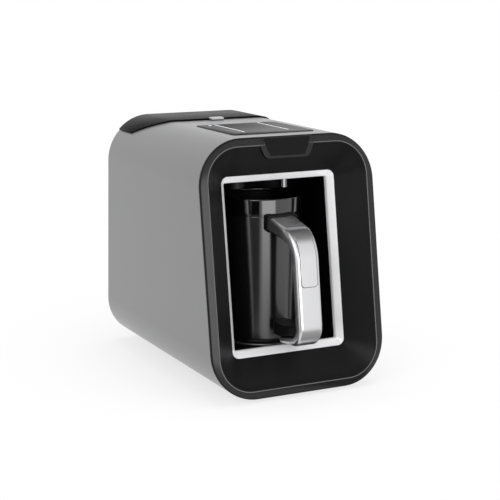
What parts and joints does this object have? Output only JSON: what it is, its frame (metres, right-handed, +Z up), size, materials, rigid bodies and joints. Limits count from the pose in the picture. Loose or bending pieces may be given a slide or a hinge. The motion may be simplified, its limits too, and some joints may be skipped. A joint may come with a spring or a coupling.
{
  "type": "electric turkish coffee maker",
  "caption": "Free-standing coffee maker with a metal sleeve, a dark framed cavity, a heated pot with a looped handle, a touch panel and a lift-out rear water tank.",
  "frame": {"origin": "centre of the whole part's outline, on the plane its feet stand on", "axes": "+Z up, -Y out of the cavity towards the user, +X to the user's right"},
  "size_m": [0.16, 0.2546, 0.215],
  "materials": {
    "sleeve_grey": "satin",
    "front_black": "satin",
    "bare_plate": "gloss",
    "trim_chrome": "polished",
    "cavity_black": "matte",
    "panel_dark": "gloss",
    "lid_dark": "satin",
    "smoke_tank": "gloss",
    "valve_white": "satin",
    "valve_orange": "satin",
    "screw_steel": "satin",
    "bracket_steel": "satin",
    "plate_steel": "brushed",
    "element_steel": "satin",
    "seal_rubber": "matte",
    "seal_red": "satin",
    "foot_rubber": "matte",
    "hose_silicone": "satin",
    "pump_plastic": "satin",
    "board_green": "satin",
    "winding_copper": "satin",
    "relay_blue": "satin",
    "chassis_grey": "matte",
    "cover_black": "matte",
    "strip_white": "gloss",
    "tab_grey": "satin",
    "lens_grey": "gloss",
    "pot_black": "satin",
    "collar_black": "gloss",
    "pot_steel": "brushed",
    "handle_silver": "satin",
    "handle_black": "satin"
  },
  "bodies": {
    "machine": {"body_sleeve": "sleeve_grey", "front_bezel": "front_black", "name_plate": "bare_plate", "cavity_trim": "trim_chrome", "cavity_liner": "cavity_black", "bezel_screws": "screw_steel", "hot_plate": "plate_steel", "plate_seal": "seal_rubber", "heating_element": "element_steel", "thermostat": "chassis_grey", "thermal_fuse": "strip_white", "heater_bracket": "bracket_steel", "bracket_screws": "screw_steel", "water_spout": "front_black", "foam_sensor": "front_black", "sensor_lens": "lens_grey", "control_panel": "panel_dark", "light_strips": "strip_white", "status_lens": "strip_white", "touch_board": "board_green", "board_posts": "chassis_grey", "buzzer": "front_black", "chassis": "chassis_grey", "base_plate": "cover_black", "base_screws": "screw_steel", "feet": "foot_rubber", "tank_bay": "chassis_grey", "power_board": "board_green", "transformer": "winding_copper", "relays": "relay_blue", "capacitors": "front_black", "water_pump": "pump_plastic", "pump_mounts": "seal_rubber", "suction_hose": "hose_silicone", "delivery_hose": "hose_silicone", "tank_socket": "valve_white", "socket_seal": "seal_red", "back_cover": "cover_black", "back_screws": "screw_steel", "cord_gland": "seal_rubber"},
    "tank": {"water_tank": "smoke_tank", "valve_housing": "valve_white", "valve_cap": "valve_white", "inlet_filter": "valve_white", "valve_spring": "screw_steel"},
    "valve": {"valve_poppet": "valve_orange", "valve_seal": "seal_rubber"},
    "lid": {"tank_lid": "lid_dark", "lid_tab": "tab_grey", "hinge_pins": "screw_steel"},
    "pot": {"pot_body": "pot_black", "pot_base": "pot_steel", "pot_collar": "collar_black", "handle_shell": "handle_silver", "handle_core": "handle_black", "handle_inlay": "handle_silver", "upper_mount": "handle_black", "lower_mount": "handle_black"}
  },
  "joints": [
    {"name": "tank_lift", "type": "slide", "parent": "machine", "child": "tank", "axis": [0, 0, 1], "range_m": [0, 0.2]},
    {"name": "lid_hinge", "type": "hinge", "parent": "tank", "child": "lid", "pos_m": [0, 0.11199, 0.2075], "axis": [-1, 0, 0], "range_deg": [0, 70]},
    {"name": "valve_slide", "type": "slide", "parent": "tank", "child": "valve", "axis": [0, 0, 1], "range_m": [0, 0.0015], "stiffness_N_per_m": 200, "deforming": ["valve_spring"]},
    {"name": "pot_pull", "type": "slide", "parent": "machine", "child": "pot", "axis": [0, -0.9914, 0.1305], "range_m": [0, 0.15]}
  ]
}
